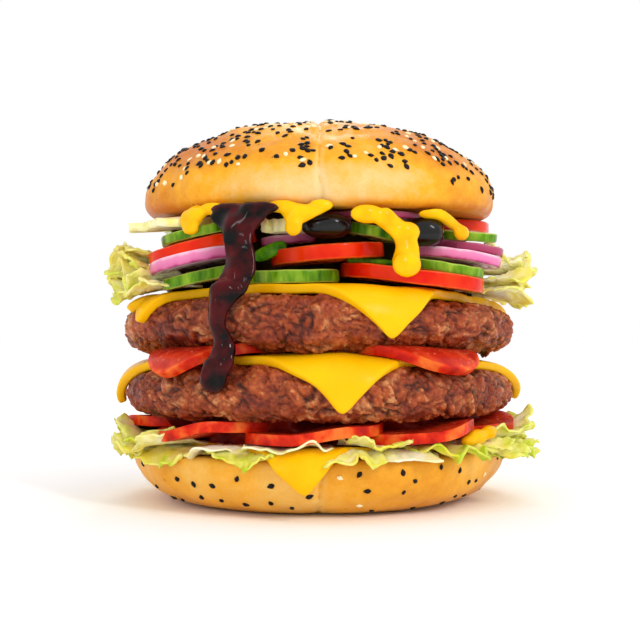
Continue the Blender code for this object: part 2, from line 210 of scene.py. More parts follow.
# --- Materials ---------------------------------------------------------------------------------------------
def tint(red, green, blue):
    """A named colour of 0 to 255 as the shader's linear value."""
    out = []
    for part in (red / 255, green / 255, blue / 255):
        out.append(part / 12.92 if part <= 0.04045 else ((part + 0.055) / 1.055) ** 2.4)
    return (*out, 1.0)


class Look:
    """A procedural material put together one node at a time. Sizes of patterns are in millimetres."""

    def __init__(self, name, rough=0.4, specular=0.12, coat=0.0, soft=0.0):
        self.material = bpy.data.materials.new(name)
        self.material.use_nodes = True
        self.tree = self.material.node_tree
        self.shader = self.tree.nodes["Principled BSDF"]
        self.shader.inputs["Roughness"].default_value = rough
        self.shader.inputs["Specular IOR Level"].default_value = specular
        self.shader.inputs["Coat Weight"].default_value = coat
        self.shader.inputs["Coat Roughness"].default_value = 0.2
        if soft:
            self.shader.inputs["Subsurface Weight"].default_value = soft
            self.shader.inputs["Subsurface Scale"].default_value = 0.002
            self.shader.inputs["Subsurface Radius"].default_value = (1.0, 0.6, 0.3)
        self.place = self.tree.nodes.new("ShaderNodeTexCoord").outputs["Object"]

    def add(self, kind, **settings):
        made = self.tree.nodes.new(kind)
        for key, value in settings.items():
            setattr(made, key, value)
        return made

    def join(self, source, socket):
        self.tree.links.new(source, socket)

    def noise(self, size, detail=3.0, rough=0.5, stretch=None):
        made = self.add("ShaderNodeTexNoise")
        made.inputs["Scale"].default_value = 1 / (size * MM)
        made.inputs["Detail"].default_value = detail
        made.inputs["Roughness"].default_value = rough
        place = self.place
        if stretch:
            mapping = self.add("ShaderNodeMapping")
            mapping.inputs["Scale"].default_value = stretch
            self.join(place, mapping.inputs["Vector"])
            place = mapping.outputs["Vector"]
        self.join(place, made.inputs["Vector"])
        return made.outputs["Fac"]

    def spots(self, size, low, high):
        """1 inside scattered round spots of a voronoi pattern, 0 outside."""
        made = self.add("ShaderNodeTexVoronoi")
        made.inputs["Scale"].default_value = 1 / (size * MM)
        self.join(self.place, made.inputs["Vector"])
        return self.remap(made.outputs["Distance"], low, high, 1, 0)

    def value(self, name):
        return self.add("ShaderNodeAttribute", attribute_name=name).outputs["Fac"]

    def remap(self, source, low, high, new_low=0.0, new_high=1.0):
        made = self.add("ShaderNodeMapRange")
        for key, number in zip(("From Min", "From Max", "To Min", "To Max"), (low, high, new_low, new_high)):
            made.inputs[key].default_value = number
        self.join(source, made.inputs["Value"])
        return made.outputs["Result"]

    def math(self, operation, first, second):
        made = self.add("ShaderNodeMath", operation=operation)
        for socket, item in zip(made.inputs, (first, second)):
            if isinstance(item, (int, float)):
                socket.default_value = item
            else:
                self.join(item, socket)
        return made.outputs["Value"]

    def ramp(self, factor, stops):
        made = self.add("ShaderNodeValToRGB")
        line = made.color_ramp
        while len(line.elements) < len(stops):
            line.elements.new(1.0)
        for element, (at, colour) in zip(line.elements, stops):
            element.position = at
            element.color = tint(*colour)
        self.join(factor, made.inputs["Fac"])
        return made.outputs["Color"]

    def mix(self, factor, first, second, blend="MIX"):
        made = self.add("ShaderNodeMix", data_type="RGBA", blend_type=blend)
        colour_inputs = [socket for socket in made.inputs if socket.type == "RGBA"]
        for socket, item in zip([made.inputs[0], *colour_inputs], (factor, first, second)):
            if isinstance(item, (int, float)):
                socket.default_value = item
            elif isinstance(item, tuple):
                socket.default_value = tint(*item)
            else:
                self.join(item, socket)
        return [socket for socket in made.outputs if socket.type == "RGBA"][0]

    def colour(self, source):
        if isinstance(source, tuple):
            self.shader.inputs["Base Color"].default_value = tint(*source)
        else:
            self.join(source, self.shader.inputs["Base Color"])

    def roughness(self, source):
        self.join(source, self.shader.inputs["Roughness"])

    def bump(self, source, depth):
        made = self.add("ShaderNodeBump")
        made.inputs["Distance"].default_value = depth * MM
        made.inputs["Strength"].default_value = 1.0
        self.join(source, made.inputs["Height"])
        self.join(made.outputs["Normal"], self.shader.inputs["Normal"])


def crust_look(name, pale, golden, brown):
    """Baked crust from pale to browned. Its colour value is 0 where the crust is pale and 1 where it browned
    or where shade is painted on the flanks of the buns.
    """
    look = Look(name, rough=0.4, specular=0.12, soft=0.08)
    mottle = look.remap(look.noise(4.5, 5.0, 0.6), 0.25, 0.75, -0.16, 0.16)
    fine = look.remap(look.noise(0.8, 3.0, 0.6), 0.3, 0.7, -0.05, 0.05)
    total = look.math("ADD", look.math("ADD", look.value("browning_and_shade"), mottle), fine)
    crust = look.ramp(total, [(0.0, pale), (0.5, golden), (1.0, brown)])
    look.colour(look.mix(look.spots(7.0, 0.03, 0.07), crust, (168, 96, 24)))
    look.roughness(look.remap(look.noise(3.0, 3.0), 0.3, 0.7, 0.3, 0.5))
    look.bump(look.noise(1.3, 4.0, 0.55), 0.09)
    return look.material


def beef_look():
    """Grilled mince: painted shade darkens the crevices, lumps run from red brown to fatty orange, with moist
    glints.
    """
    look = Look("beef", rough=0.35, specular=0.22, coat=0.04)
    lump = look.math("ADD", look.value("lump"), look.remap(look.noise(1.3, 4.0, 0.65), 0.3, 0.7, -0.28, 0.28))
    browns = [(0.0, (96, 32, 18)), (0.3, (146, 56, 26)), (0.65, (184, 88, 40)), (1.0, (228, 158, 100))]
    meat = look.ramp(lump, browns)
    char = look.remap(look.noise(8.0, 4.0, 0.6), 0.5, 0.7, 0.0, 0.45)
    meat = look.mix(char, meat, (124, 52, 40))
    # Painted shade: the crevices are mixed towards a near black brown.
    look.colour(look.mix(look.value("crevice_shade"), meat, (50, 12, 6)))
    look.roughness(look.remap(look.noise(1.6, 3.0), 0.35, 0.65, 0.22, 0.6))
    look.bump(look.noise(0.6, 5.0, 0.65), 0.25)
    return look.material


def cheese_look():
    look = Look("cheese", rough=0.3, specular=0.09, soft=0.1)
    look.colour(look.ramp(look.noise(9.0, 2.0), [(0.3, (244, 178, 4)), (0.7, (248, 190, 8))]))
    look.roughness(look.remap(look.noise(6.0, 2.0), 0.3, 0.7, 0.24, 0.4))
    look.bump(look.noise(5.0, 2.0), 0.12)
    return look.material


def lettuce_look():
    """Leaf: rib is 1 at the pale rib and root, 0 at the green frill."""
    look = Look("lettuce", rough=0.35, specular=0.14, soft=0.2)
    rib = look.math("ADD", look.value("rib"), look.remap(look.noise(4.0, 4.0), 0.3, 0.7, -0.2, 0.2))
    greens = [(0.0, (184, 214, 40)), (0.25, (226, 228, 96)), (0.55, (244, 236, 146)), (1.0, (254, 250, 216))]
    leaf_colour = look.ramp(rib, greens)
    look.colour(look.mix(look.remap(look.noise(11.0, 2.0), 0.5, 0.68, 0.0, 0.6), leaf_colour, (246, 214, 70)))
    look.bump(look.noise(1.6, 4.0, 0.6), 0.25)
    return look.material


def salami_look():
    """Cured meat: dark skin round the rim, spots of fat on the faces."""
    look = Look("salami", rough=0.3, specular=0.14, soft=0.06)
    reds = [(0.3, (176, 24, 14)), (0.55, (206, 50, 22)), (0.75, (226, 84, 40))]
    base = look.ramp(look.noise(5.0, 4.0), reds)
    fat = look.math("MULTIPLY", look.spots(2.2, 0.10, 0.25), 0.6)
    oranges = [(0.36, (172, 12, 4)), (0.5, (218, 44, 10)), (0.66, (238, 112, 40))]
    skin = look.ramp(look.noise(6.0, 4.0), oranges)
    look.colour(look.mix(look.value("rim"), look.mix(fat, base, (236, 140, 96)), skin))
    look.roughness(look.remap(look.noise(3.0, 3.0), 0.3, 0.7, 0.2, 0.45))
    look.bump(look.noise(1.2, 3.0), 0.08)
    return look.material


def tomato_look():
    """Skin round the rim; face is 1 on the cut faces."""
    look = Look("tomato", rough=0.16, specular=0.14, soft=0.08)
    skin = look.ramp(look.noise(9.0, 3.0), [(0.3, (208, 12, 0)), (0.7, (234, 60, 14))])
    flesh = look.ramp(look.noise(2.5, 4.0), [(0.3, (222, 60, 16)), (0.7, (238, 120, 40))])
    look.colour(look.mix(look.value("face"), skin, flesh))
    look.bump(look.math("MULTIPLY", look.noise(1.5, 3.0), look.value("face")), 0.15)
    return look.material


def cucumber_look():
    """Striped green skin round the rim, and pale flesh that greens towards it. bare is 1 where peeled."""
    look = Look("cucumber", rough=0.18, specular=0.14, soft=0.08)
    stripe = look.noise(3.0, 3.0, 0.55, stretch=(1.0, 1.0, 0.25))
    skin = look.ramp(stripe, [(0.3, (44, 92, 8)), (0.5, (94, 144, 16)), (0.7, (150, 184, 48))])
    pales = [(0.0, (226, 224, 150)), (0.8, (212, 220, 120)), (1.0, (186, 208, 84))]
    flesh = look.ramp(look.value("rad"), pales)
    peeled = look.math("MAXIMUM", look.value("face"), look.value("bare"))
    look.colour(look.mix(peeled, skin, flesh))
    look.bump(look.noise(1.0, 3.0), 0.08)
    return look.material


def onion_look():
    """Purple skin at the rim and in the rings between pale layers, with painted shade towards the rim's lower
    edge and painted light towards its upper edge. deep makes a rim darker.
    """
    look = Look("onion", rough=0.22, specular=0.14, soft=0.1)
    flesh = look.ramp(look.noise(5.0, 3.0), [(0.3, (226, 172, 206)), (0.7, (244, 218, 232))])
    ringed = look.mix(look.value("ring"), flesh, (168, 74, 132))
    # Painted light and shade on the rim: darker towards its lower edge, paler towards its upper edge.
    height = look.math("ADD", look.value("height"), look.remap(look.noise(4.0, 3.0), 0.3, 0.7, -0.12, 0.12))
    pinks = [(0.0, (158, 44, 100)), (0.25, (220, 112, 162)), (0.7, (228, 134, 178)), (1.0, (246, 202, 216))]
    edge = look.ramp(height, pinks)
    edge = look.mix(look.value("deep"), edge, (152, 40, 72))
    look.colour(look.mix(look.value("face"), edge, ringed))
    look.bump(look.noise(2.0, 2.0), 0.06)
    return look.material


def plain_look(name, colours, rough, size=6.0, depth=0.1, soft=0.0, specular=0.12):
    """Two colours in clouds of the given size."""
    look = Look(name, rough=rough, specular=specular, soft=soft)
    look.colour(look.ramp(look.noise(size, 3.0), [(0.35, colours[0]), (0.65, colours[1])]))
    look.bump(look.noise(size * 0.6, 2.0), depth)
    return look.material


def barbecue_look():
    """Thick dark sauce, dark red in clouds, whose gloss is uneven."""
    look = Look("barbecue", specular=0.17)
    look.colour(look.ramp(look.noise(6.0, 3.0), [(0.36, (2, 0, 1)), (0.66, (84, 0, 5))]))
    look.roughness(look.remap(look.noise(7.0, 2.0), 0.3, 0.7, 0.05, 0.18))
    look.bump(look.noise(3.4, 2.0), 0.16)
    return look.material


LOOKS = {
    "crust_top": crust_look("crust_top", (228, 198, 138), (240, 168, 38), (202, 112, 16)),
    "crust_bottom": crust_look("crust_bottom", (242, 198, 108), (236, 166, 48), (206, 124, 28)),
    "beef": beef_look(),
    "cheese": cheese_look(),
    "lettuce": lettuce_look(),
    "salami": salami_look(),
    "tomato": tomato_look(),
    "cucumber": cucumber_look(),
    "onion": onion_look(),
    "olive": plain_look("olive", ((2, 2, 3), (12, 8, 12)), 0.2, 5.0, 0.2, specular=0.34),
    "mustard": plain_look("mustard", ((244, 170, 0), (250, 192, 4)), 0.16, 5.0, 0.1, soft=0.08),
    "barbecue": barbecue_look(),
    "green_skin": plain_look("green_skin", ((44, 110, 6), (104, 164, 24)), 0.15, 3.0, 0.1),
    # Painted shade: near black sheets that stand in for the shade in the gaps between slices.
    "painted_shade_leaf": plain_look("painted_shade_leaf", ((50, 10, 5), (56, 52, 10)), 0.4, 9.0, 0.2),
    # Painted shade: a dark red sheet for the shade under the lower patty.
    "painted_shade_meat": plain_look("painted_shade_meat", ((84, 8, 5), (132, 26, 12)), 0.4, 9.0, 0.2),
    "seed_black": plain_look("seed_black", ((14, 10, 12), (40, 30, 30)), 0.35, 1.0, 0.05),
    "seed_white": plain_look("seed_white", ((242, 216, 160), (252, 236, 196)), 0.4, 1.0, 0.05),
}


# --- Buns --------------------------------------------------------------------------------------------------
def crease_angles(coarse, fine):
    """Azimuths all the way round, close together at the crease in front and behind."""
    near = np.concatenate([np.arange(-9, 9, fine), np.arange(9, 171, coarse)])
    return np.sort(np.concatenate([(near + 90) % 360, (near + 270) % 360]))[:, None]


def press_crease(points, centre_z, hidden):
    """The pinched line over both bun halves: a narrow line with soft shoulders."""
    out = points - np.array([0, 0, centre_z])
    out /= np.linalg.norm(out, axis=1, keepdims=True) + 1e-9
    x = points[:, 0] + 0.35 * np.sin(points[:, 2] * 0.35) + 0.25 * np.sin(points[:, 1] * 0.3 + 1)
    shown = (np.abs(points[:, 1]) > hidden) | (points[:, 2] > centre_z + 4)
    depth = 0.6 * np.exp(-((x / 0.7) ** 2)) + 0.5 * np.exp(-((x / 3.2) ** 2))
    return points - out * (depth * shown)[:, None], np.exp(-((x / 1.3) ** 2)) * shown


def make_top_bun():
    foot, top = TOP_BUN_FOOT, TOP_BUN_TOP
    widest = foot + 4.7
    dome = arc((0, widest), 52.3, top - widest, 90, 0, 80)
    lip = arc((48.5, widest), 3.8, 4.7, 0, -90, 16)
    base = np.array([[0, foot]])
    profile = np.concatenate([even_spacing(np.concatenate([dome, lip[1:]]), 0.9), base])
    azimuths = crease_angles(1.4, 0.45)
    points = spin_points(azimuths, profile[None, :, 0], profile[None, :, 1])
    a = np.arctan2(points[:, 1], points[:, 0])
    swell = 1 + 0.006 * np.sin(2 * a + 2.1) + 0.004 * np.sin(3 * a + 1)
    points[:, :2] *= swell[:, None]
    points, crack = press_crease(points, foot, 20)
    normal = points - np.array([0, 0, 70.0])
    normal /= np.linalg.norm(normal, axis=1, keepdims=True)
    points += normal * (0.35 * waves(points, 9.0, 3) + 0.16 * waves(points, 3.2, 4))[:, None]
    height = (points[:, 2] - foot) / (top - foot)
    # Painted shade: side grows towards the left and right flanks, which are made browner where the dome turns
    # from the light.
    side = 1 - np.exp(-((points[:, 0] / 34) ** 2))
    browning_and_shade = 0.05 + 0.55 * smoothstep(0.2, 0.62, height) + 0.58 * side + 0.12 * waves(points, 14, 5)
    browning_and_shade += 0.35 * smoothstep(0.10, 0.0, height) - 0.36 * crack
    # More painted shade, strongest low on the flanks.
    browning_and_shade += 0.3 * side * smoothstep(0.4, 0.1, height)
    browning_and_shade += 0.5 * crack**16 * smoothstep(-0.2, 0.5, waves(points, 1.2, 6))
    faces = grid_faces(len(azimuths), len(profile), True)
    build("top_bun_crust", points, faces, LOOKS["crust_top"], "bun_top", "crust", {"browning_and_shade": browning_and_shade})


def make_bottom_bun():
    foot, top = 0.0, BOTTOM_BUN_TOP
    widest = top - 1.9
    side = arc((37, widest), BOTTOM_BUN_R - 37, widest, 0, -90, 60)
    shoulder = arc((53.1, widest), 2.2, 1.9, 90, 0, 10)
    rim = even_spacing(np.concatenate([shoulder, side[1:]]), 0.8)
    profile = np.concatenate([[[0, top]], rim, [[0, foot]]])
    azimuths = crease_angles(1.4, 0.45)
    points = spin_points(azimuths, profile[None, :, 0], profile[None, :, 1])
    a = np.arctan2(points[:, 1], points[:, 0])
    swell = 1 + 0.006 * np.sin(2 * a + 0.5) + 0.005 * np.sin(5 * a)
    points[:, :2] *= swell[:, None]
    points, crack = press_crease(points, top, 38)
    normal = points - np.array([0, 0, 22.0])
    normal /= np.linalg.norm(normal, axis=1, keepdims=True)
    rise = smoothstep(0.2, 2.5, points[:, 2]) * (np.hypot(points[:, 0], points[:, 1]) > 30)
    points += normal * (rise * (0.3 * waves(points, 8.0, 13) + 0.14 * waves(points, 3.0, 14)))[:, None]
    height = points[:, 2] / top
    browning_and_shade = 0.38 + 0.22 * smoothstep(0.35, 0.0, height) + 0.16 * waves(points, 14, 15) - 0.25 * crack
    # Painted shade: browner towards the left and right flanks, where the bun turns from the light.
    browning_and_shade += 0.16 * (1 - np.exp(-((points[:, 0] / 34) ** 2)))
    browning_and_shade += 0.5 * crack**16 * smoothstep(-0.2, 0.5, waves(points, 1.2, 16))
    faces = grid_faces(len(azimuths), len(profile), True)
    build("bottom_bun_crust", points, faces, LOOKS["crust_bottom"], "bun_bottom", "crust", {"browning_and_shade": browning_and_shade})


# --- Seeds -------------------------------------------------------------------------------------------------
def seed_shape():
    """Points and faces of one teardrop seed lying on its flat side, about 1 long."""
    rings, sides = 6, 8
    points = []
    for i in range(rings + 1):
        t = i / rings
        girth = math.sin(math.pi * t) ** 0.8 * (1 - 0.45 * t)
        for k in range(sides):
            a = TAU * k / sides
            points.append((t - 0.45, 0.44 * girth * math.cos(a), 0.27 * girth * math.sin(a)))
    return np.array(points), tube_faces(rings + 1, sides)


SEED_POINTS, SEED_FACES = seed_shape()


def scatter(name, look, spots, normals, lengths, seed):
    """One mesh of seeds, each lying on its spot with a random turn."""
    rng = np.random.default_rng(seed)
    parts = []
    for spot, normal, length in zip(spots, normals, lengths):
        side = np.cross(normal, rng.normal(size=3))
        side /= np.linalg.norm(side)
        other = np.cross(normal, side)
        tip = normal + 0.25 * rng.normal(size=3)
        tip /= np.linalg.norm(tip)
        local = SEED_POINTS * length
        parts.append((spot + local[:, :1] * side + local[:, 1:2] * other + local[:, 2:] * tip, SEED_FACES))
    build(name, *joined(parts), look)


def bun_spots(bun, count, seed, weight, spacing):
    """Random face centres and normals of a bun, chosen where weight(points) is high and kept apart."""
    data = bpy.data.objects[bun].data
    centres = np.zeros(len(data.polygons) * 3)
    normals = np.zeros(len(data.polygons) * 3)
    areas = np.zeros(len(data.polygons))
    data.polygons.foreach_get("center", centres)
    data.polygons.foreach_get("normal", normals)
    data.polygons.foreach_get("area", areas)
    centres = centres.reshape(-1, 3) / MM
    normals = normals.reshape(-1, 3)
    chance = areas * weight(centres)
    rng = np.random.default_rng(seed)
    tries = min(len(centres), count * 12)
    order = rng.choice(len(centres), size=tries, replace=True, p=chance / chance.sum())
    chosen = []
    for i in order:
        if all(np.sum((centres[i] - centres[j]) ** 2) > spacing**2 for j in chosen):
            chosen.append(i)
        if len(chosen) == count:
            break
    return centres[chosen], normals[chosen]


def dense_on_top(points):
    """Chance of a seed: thick over the dome, thin on its sides, none on the crease."""
    height = smoothstep(91.0, 98.0, points[:, 2])
    side = 0.5 * smoothstep(88, 91, points[:, 2]) * smoothstep(15, 45, np.abs(points[:, 0]))
    clumps = smoothstep(-0.5, 0.8, waves(points, 6.0, 21))
    return (height * (0.25 + clumps) + side) * (np.abs(points[:, 0]) > 1.6) + 1e-9


def all_over_side(points):
    return smoothstep(0.5, 3, points[:, 2]) * smoothstep(16, 13, points[:, 2]) + 1e-9


def make_seeds():
    rng = np.random.default_rng(5)
    for name, bun, look, count, weight, apart, seed in (
        ("seeds_black_top", "top_bun_crust", "seed_black", 620, dense_on_top, 1.35, 22),
        ("seeds_white_top", "top_bun_crust", "seed_white", 170, dense_on_top, 2.2, 23),
        ("seeds_black_bottom", "bottom_bun_crust", "seed_black", 74, all_over_side, 3.0, 24),
        ("seeds_white_bottom", "bottom_bun_crust", "seed_white", 12, all_over_side, 3.0, 25),
    ):
        spots, normals = bun_spots(bun, count, seed, weight, apart)
        lengths = rng.uniform(1.7, 2.4, len(spots))
        scatter(name, LOOKS[look], spots + 0.12 * normals, normals, lengths, seed)


# --- Patties -----------------------------------------------------------------------------------------------
def rim_swell(azimuths, phase):
    a = np.radians(azimuths)
    return 1 + 0.008 * np.sin(2 * a + phase) + 0.006 * np.sin(5 * a + 2 * phase)


def saddle(x):
    return SADDLE * ((x + SADDLE_SHIFT) / PATTY_R) ** 2


# foot, height, phase of the rim's swell, sags of the rim as (azimuth, half width, depth), sag of the middle
LOW_PATTY = (26.05, 15.0, 0.4, (), 0.0)
HIGH_PATTY = (46.87, 12.9, 2.2, ((267, 15, 2.2), (358, 34, 3.2), (93, 25, 2.2), (182, 30, 3.0)), 2.6)


def sag_at(azimuths, sags):
    depth = np.zeros_like(azimuths)
    for lowest, half_width, most in sags:
        off = np.abs((azimuths - lowest + 180) % 360 - 180) / half_width
        depth += most * (0.5 + 0.5 * np.cos(np.pi * np.minimum(off, 1)))
    return depth


def patty_form(spec):
    """Smooth form of a patty: its faces, points and their outward directions."""
    foot, height, phase, sags, bed = spec
    half = height / 2
    rim = arc((PATTY_FLAT, foot + half), PATTY_EDGE, half, 90, -90, 60, RIM_POWER)
    rim = even_spacing(np.concatenate([[[36, foot + height]], rim, [[36, foot]]]), 0.5)
    profile = np.concatenate([[[0, foot + height]], rim, [[0, foot]]])
    azimuths = np.linspace(0, 360, 640, endpoint=False)[:, None]
    swell = rim_swell(azimuths, phase)
    points = spin_points(azimuths, profile[None, :, 0] * swell, profile[None, :, 1])
    radius = np.hypot(points[:, 0], points[:, 1])
    share = np.clip((points[:, 2] - foot) / height, 0, 1)
    turns = np.degrees(np.arctan2(points[:, 1], points[:, 0]))
    points[:, 2] -= saddle(points[:, 0]) * share
    points[:, 2] -= sag_at(turns, sags) * (1 - share) ** 2 * (radius > PATTY_FLAT - 1)
    if bed:
        points[:, 2] -= (bed + saddle(points[:, 0])) * (1 - share) ** 2 * smoothstep(53, 44, radius)
    tangent = np.gradient(profile, axis=0)
    across = np.stack([-tangent[:, 1], tangent[:, 0]], axis=1)
    across /= np.linalg.norm(across, axis=1, keepdims=True) + 1e-9
    out = np.tile(across, (len(azimuths), 1))
    a = np.radians(turns)
    normal = np.stack([out[:, 0] * np.cos(a), out[:, 0] * np.sin(a), out[:, 1]], axis=1)
    return grid_faces(len(azimuths), len(profile), True), points, normal, radius


def make_patty(name, node, spec, seed):
    """Minced meat: three sizes of lumps, stretched and swirled, with crevices between them."""
    faces, middle, normal, radius = patty_form(spec)
    drift = np.stack([waves(middle, 3.4, seed + k) for k in range(3)], axis=1)
    swirl = middle + 1.5 * drift
    tilt = waves(middle, 8.0, seed + 8)[:, None]
    strands = swirl * np.array([1, 1, 1.55]) + tilt * np.array([0, 0, 2.5])
    big, big_own = cells(strands, 5.6, seed + 3)
    mid, mid_own = cells(swirl * np.array([0.9, 0.9, 1.35]), 2.9, seed + 4)
    fine, fine_own = cells(middle + 0.5 * drift, 1.3, seed + 5)
    big, mid, fine = smoothstep(0, 0.30, big), smoothstep(0, 0.36, mid), smoothstep(0, 0.45, fine)
    relief = 0.45 * (big - 1) + 0.26 * (mid - 1) + 0.12 * (fine - 1)
    relief += 1.1 * (big * big_own - 0.9) + 0.55 * (mid * mid_own - 0.9) + 0.2 * (fine * fine_own - 0.9)
    relief += 0.5 * waves(middle, 8.0, seed + 6) + 0.25 * waves(swirl, 3.0, seed + 7)
    relief += 0.08 * waves(middle, 1.1, seed + 7)
    relief = 0.9 - np.logaddexp(0, 3.0 * (-0.35 - 0.8 * relief)) / 3.0
    points = middle + normal * (relief * smoothstep(30, 42, radius))[:, None]
    # Painted shade: crevices between lumps and sunken places are darkened, more in some patches than in
    # others.
    sunk = smoothstep(-0.5, -1.6, relief)
    shade_amount = 0.25 + 0.75 * smoothstep(-0.6, 0.8, waves(middle, 4.5, seed + 9))
    crevice_shade = shade_amount * (0.55 * (1 - big) ** 1.6 + 0.5 * (1 - mid) ** 1.7)
    crevice_shade += 0.15 * (1 - fine) ** 1.5 + 0.55 * sunk
    lump = 0.05 + 0.3 * big_own + 0.3 * mid_own + 0.25 * fine_own + 0.12 * waves(middle, 10.0, seed + 10)
    values = {"crevice_shade": np.clip(crevice_shade, 0, 1), "lump": lump}
    build(name, points, faces, LOOKS["beef"], node, "beef", values)


# --- Cheese ------------------------------------------------------------------------------------------------
def rim_line(foot, height, gap):
    """Line over a patty: from the middle of its top, down its rounded rim, gap outside it."""
    centre = (PATTY_FLAT, foot + height / 2)
    rim = arc(centre, PATTY_EDGE + gap, height / 2 + gap, 90, -60, 90, RIM_POWER)
    return np.concatenate([[[0, foot + height + gap]], rim])


def bun_line(gap):
    """Line over the bottom bun: along its top, over the shoulder and down its side."""
    shoulder = arc((53.1, 14.0), 2.2 + gap, 1.9 + gap, 90, 0, 12)
    side = arc((37, 14.0), 18.3 + gap, 14.0 + gap, 0, -60, 40)
    return np.concatenate([[[0, BOTTOM_BUN_TOP + gap]], shoulder, side[1:]])


def make_cheese(name, node, side, tip, line, seed, phase=None, flat_top=0.0, height=1.0, melted=()):
    """A square slice with rounded corners that follows a line of (radius, z) outwards in every direction.
    tip is the azimuth of a corner. phase, flat_top and height are those of the patty under it.
    melted is (azimuth, share, width in degrees) of places where it shrank or ran down."""
    steps = np.linspace(-1, 1, 81)
    u, v = [grid.ravel() for grid in np.meshgrid(steps, steps, indexing="ij")]
    angle = np.arctan2(v, u)
    c, s = np.abs(np.cos(angle)), np.abs(np.sin(angle))
    far = np.maximum(np.abs(u), np.abs(v))
    pull = 1 + (np.maximum(c, s) * (c**40 + s**40) ** (-1 / 40) - 1) * far**5
    turn = math.radians(tip - 45)
    x = (u * math.cos(turn) - v * math.sin(turn)) * pull * side / 2
    y = (u * math.sin(turn) + v * math.cos(turn)) * pull * side / 2
    spot = np.stack([x, y, np.zeros_like(x)], axis=1)
    ragged = 1 + 0.010 * waves(spot, 8.0, seed) * far**3
    for azimuth, share, width in melted:
        off = (np.degrees(np.arctan2(y, x)) - azimuth + 180) % 360 - 180
        ragged = ragged * (1 + share * np.exp(-((off / width) ** 2)) * far**2)
    x, y = x * ragged, y * ragged
    along = np.concatenate([[0], np.cumsum(np.linalg.norm(np.diff(line, axis=0), axis=1))])
    lengths = np.hypot(x, y)
    reach, z = np.interp(lengths, along, line[:, 0]), np.interp(lengths, along, line[:, 1])
    azimuths = np.degrees(np.arctan2(y, x))
    if phase is not None:
        reach = reach * rim_swell(azimuths, phase)
    a = np.radians(azimuths)
    hung = smoothstep(line[0, 1] - 1.5, line[0, 1] - 9.0, z)
    reach = reach + hung * (0.3 + 0.4 * waves(spot, 8.0, seed + 1))
    points = np.stack([reach * np.cos(a), reach * np.sin(a), z], axis=1)
    if phase is not None:
        points[:, 2] -= saddle(points[:, 0]) * np.clip(1 - (flat_top - z) / height, 0, 1)
    points[:, 2] += 0.22 * waves(spot, 9.0, seed + 2)
    made = build(name, points, grid_faces(81, 81, False), LOOKS["cheese"], node, "cheese")
    thicken(made, CHEESE_THICK, 0.8, 1.0)


def make_all_cheese():
    tucked = ((176, -0.13, 14), (356, -0.13, 14))
    make_cheese("cheese_slice_base", "cheese_base", CHEESE_BASE_SIDE, 266, bun_line(0.6), 31, melted=tucked)
    for name, node, tip, spec, seed, melted in (
        ("cheese_slice_lower", "cheese_lower", 275.5, LOW_PATTY, 34, ()),
        ("cheese_slice_upper", "cheese_upper", 289, HIGH_PATTY, 38, ((199, -0.13, 20), (213, 0.22, 4.5))),
    ):
        foot, height, phase = spec[:3]
        line = rim_line(foot, height, 0.3)
        make_cheese(name, node, CHEESE_SIDE, tip, line, seed, phase, foot + height, height, melted)


# --- Salami ------------------------------------------------------------------------------------------------
def low_salami_height(off, reach, azimuth):
    """Each slice rises to lie on the end of the next."""
    return 19.9 + 2.6 * smoothstep(-7.0, 12.0, off)


def high_salami_height(off, reach, azimuth):
    """Over the lower cheese and down its rounded rim."""
    x = reach * np.cos(np.radians(azimuth + off))
    wide, tall = PATTY_EDGE + 3.4, LOW_PATTY[1] / 2 + 3.4
    share = np.clip((reach - PATTY_FLAT) / wide, 0, 0.999)
    drop = tall * (1 - (1 - share**RIM_POWER) ** (1 / RIM_POWER))
    return 44.1 - saddle(x) - drop


def make_salami(node, azimuth, distance, height_of, seed):
    rings, sides = 18, 84
    radii = SALAMI_R * np.sin(np.linspace(0, np.pi / 2, rings))
    turn = np.linspace(0, TAU, sides, endpoint=False)
    t, r = [grid.ravel() for grid in np.meshgrid(turn, radii, indexing="ij")]
    wobble = 1 + 0.015 * np.sin(2 * t + seed) + 0.01 * np.sin(5 * t + 2 * seed)
    a = math.radians(azimuth)
    x = r * wobble * np.cos(t) + distance * math.cos(a)
    y = r * wobble * np.sin(t) + distance * math.sin(a)
    off = (np.degrees(np.arctan2(y, x)) - azimuth + 180) % 360 - 180
    z = height_of(off, np.hypot(x, y), azimuth)
    points = np.stack([x, y, z], axis=1)
    points[:, 2] += 0.3 * waves(points, 9.0, seed) * (r / SALAMI_R)
    values = {"rim": smoothstep(0.955, 0.99, r / SALAMI_R)}
    faces = grid_faces(sides, rings, True)
    made = build(node + "_slice", points, faces, LOOKS["salami"], node, "salami", values)
    thicken(made, SALAMI_THICK, 0.8, 1.0)


def make_all_salami():
    for i in range(9):
        make_salami(f"salami_lower_{i + 1}", 188 + i * 40, 40.0, low_salami_height, 50 + i)
    for i, azimuth in enumerate((228, 306, 50, 136)):
        make_salami(f"salami_upper_{i + 1}", azimuth, 41.0, high_salami_height, 70 + i)


